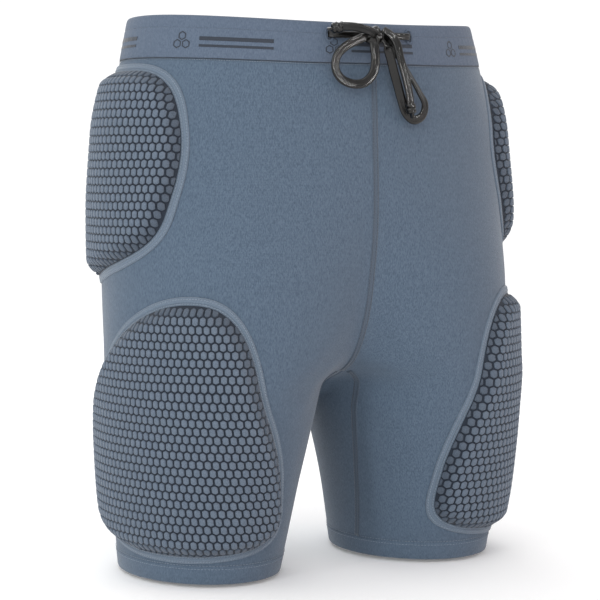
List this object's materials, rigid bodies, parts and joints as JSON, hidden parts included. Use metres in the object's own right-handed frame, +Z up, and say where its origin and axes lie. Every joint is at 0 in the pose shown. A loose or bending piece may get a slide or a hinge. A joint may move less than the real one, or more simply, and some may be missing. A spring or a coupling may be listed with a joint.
{
  "type": "padded impact shorts",
  "caption": "Close-fitting stretch under-shorts with raised honeycomb pads over hips, thighs and tailbone, an elastic waistband and a flat drawcord tied in a bow.",
  "frame": {"origin": "on the shorts' centre line in the plane of the waist opening's rim at the sides and back, where the wearer's waist passes through", "axes": "+Z up towards the wearer's head, -Y to the wearer's front, +X to the wearer's left"},
  "size_m": [0.3638, 0.2483, 0.43],
  "materials": {
    "body_knit": "heathered slate-blue stretch knit, matt",
    "waistband_knit": "smooth ribbed elastic knit, slightly paler than the body",
    "pad_cover": "moulded honeycomb of pale raised cells with dark navy grooves",
    "pad_edge": "flat knit strip with two stitch rows",
    "pad_foam": "soft shock-absorbing foam, matt",
    "seam_thread": "flatlock stitching, matt",
    "drawcord": "flat woven cord, near black, low sheen",
    "care_label": "smooth satin ribbon, blank"
  },
  "bodies": {
    "trunk": {"waistband_outer": "waistband_knit", "waistband_facing": "waistband_knit", "right_buttonhole": "seam_thread", "left_buttonhole": "seam_thread", "drawcord_tunnel_run": "drawcord", "drawcord_front_run": "drawcord", "drawcord_knot": "drawcord", "right_body_panel": "body_knit", "left_body_panel": "body_knit", "centre_front_seam": "seam_thread", "centre_back_seam": "seam_thread", "care_label": "care_label", "right_hip_foam": "pad_foam", "right_hip_cover": "pad_cover", "right_hip_edge_strip": "pad_edge", "left_hip_foam": "pad_foam", "left_hip_cover": "pad_cover", "left_hip_edge_strip": "pad_edge", "tailbone_foam": "pad_foam", "tailbone_cover": "pad_cover", "tailbone_edge_strip": "pad_edge"},
    "right_leg": {"right_leg_panel": "body_knit", "right_hem_band": "body_knit", "right_inseam": "seam_thread", "right_thigh_foam": "pad_foam", "right_thigh_cover": "pad_cover", "right_thigh_edge_strip": "pad_edge"},
    "left_leg": {"left_leg_panel": "body_knit", "left_hem_band": "body_knit", "left_inseam": "seam_thread", "left_thigh_foam": "pad_foam", "left_thigh_cover": "pad_cover", "left_thigh_edge_strip": "pad_edge"},
    "bow_right": {"bow_loop_right": "drawcord"},
    "bow_left": {"bow_loop_left": "drawcord"},
    "end_short": {"drawcord_end_short": "drawcord", "short_end_knot": "drawcord"},
    "end_long": {"drawcord_end_long": "drawcord", "long_end_knot": "drawcord"}
  },
  "joints": [
    {"name": "right_leg_flex", "type": "hinge", "parent": "trunk", "child": "right_leg", "pos_m": [-0.1, -0.01, -0.16], "axis": [-1, 0, 0], "range_deg": [0, 45], "stiffness_Nm_per_rad": 0.4},
    {"name": "left_leg_flex", "type": "hinge", "parent": "trunk", "child": "left_leg", "pos_m": [0.1, -0.01, -0.16], "axis": [-1, 0, 0], "range_deg": [0, 45], "stiffness_Nm_per_rad": 0.4},
    {"name": "right_loop_lift", "type": "hinge", "parent": "trunk", "child": "bow_right", "pos_m": [-0.004, -0.1142, -0.0175], "axis": [-1, 0, 0], "range_deg": [0, 70]},
    {"name": "left_loop_lift", "type": "hinge", "parent": "trunk", "child": "bow_left", "pos_m": [-0.004, -0.1142, -0.0175], "axis": [-1, 0, 0], "range_deg": [0, 70]},
    {"name": "long_end_lift", "type": "hinge", "parent": "bow_left", "child": "end_long", "pos_m": [-0.004, -0.1142, -0.0175], "axis": [-1, 0, 0], "range_deg": [0, 20]},
    {"name": "short_end_lift", "type": "hinge", "parent": "trunk", "child": "end_short", "pos_m": [-0.004, -0.1142, -0.0175], "axis": [1, 0, 0], "range_deg": [0, 30]}
  ]
}
